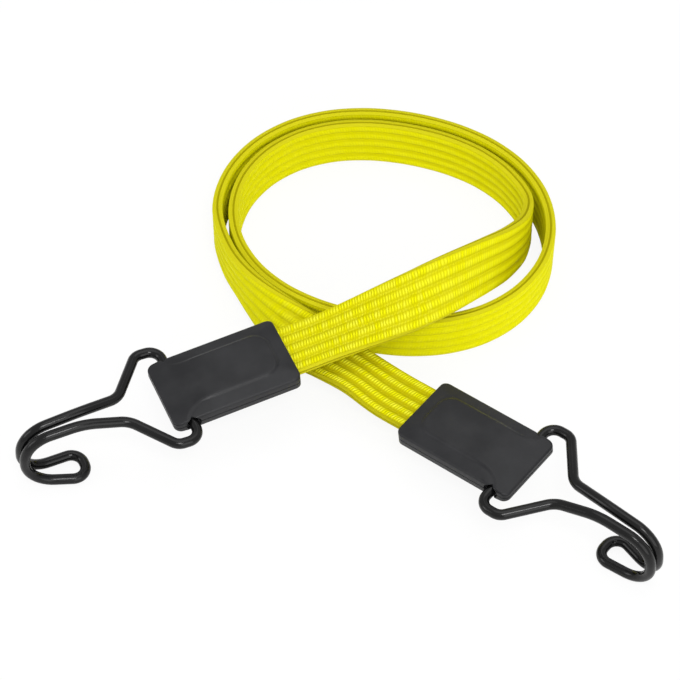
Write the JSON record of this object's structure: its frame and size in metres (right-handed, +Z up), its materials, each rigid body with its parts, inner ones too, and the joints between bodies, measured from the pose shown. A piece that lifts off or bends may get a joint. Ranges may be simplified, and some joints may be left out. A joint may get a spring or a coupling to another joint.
{
  "type": "elastic tie-down strap",
  "caption": "Flat woven elastic tie-down strap wound into a ring on its edge, with a moulded housing and a pivoting double wire hook on each end.",
  "frame": {"origin": "on the table, below the middle of the box round the two end fittings; the strap is a free cord and isn't counted in it", "axes": "+X from the left fitting to the right one as pictured, +Y away from the viewer to the ring, +Z up"},
  "size_m": [0.1934, 0.1787, 0.0345],
  "materials": {
    "woven_cover": "woven, bright yellow",
    "strand_rubber": "plain cut rubber",
    "black_moulding": "satin moulded",
    "crimp_steel": "zinc plated",
    "coated_wire": "smooth black coating"
  },
  "bodies": {
    "strap": {"woven_sheath": "woven_cover", "rubber_strand_1": "strand_rubber", "rubber_strand_2": "strand_rubber", "rubber_strand_3": "strand_rubber", "rubber_strand_4": "strand_rubber", "rubber_strand_5": "strand_rubber", "left_upper_shell": "black_moulding", "left_lower_shell": "black_moulding", "left_end_crimp": "crimp_steel", "right_upper_shell": "black_moulding", "right_lower_shell": "black_moulding", "right_end_crimp": "crimp_steel"},
    "left_hook": {"left_wire_hook": "coated_wire"},
    "right_hook": {"right_wire_hook": "coated_wire"}
  },
  "joints": [
    {"name": "left_hook_pivot", "type": "hinge", "parent": "strap", "child": "left_hook", "pos_m": [-0.04787, 0.01837, 0.01724], "axis": [-0.4067, 0.9135, 0], "range_deg": [-126, 112]},
    {"name": "right_hook_pivot", "type": "hinge", "parent": "strap", "child": "right_hook", "pos_m": [0.0541, -0.00771, 0.01678], "axis": [-0.6293, -0.7771, 0], "range_deg": [-118, 119]}
  ]
}
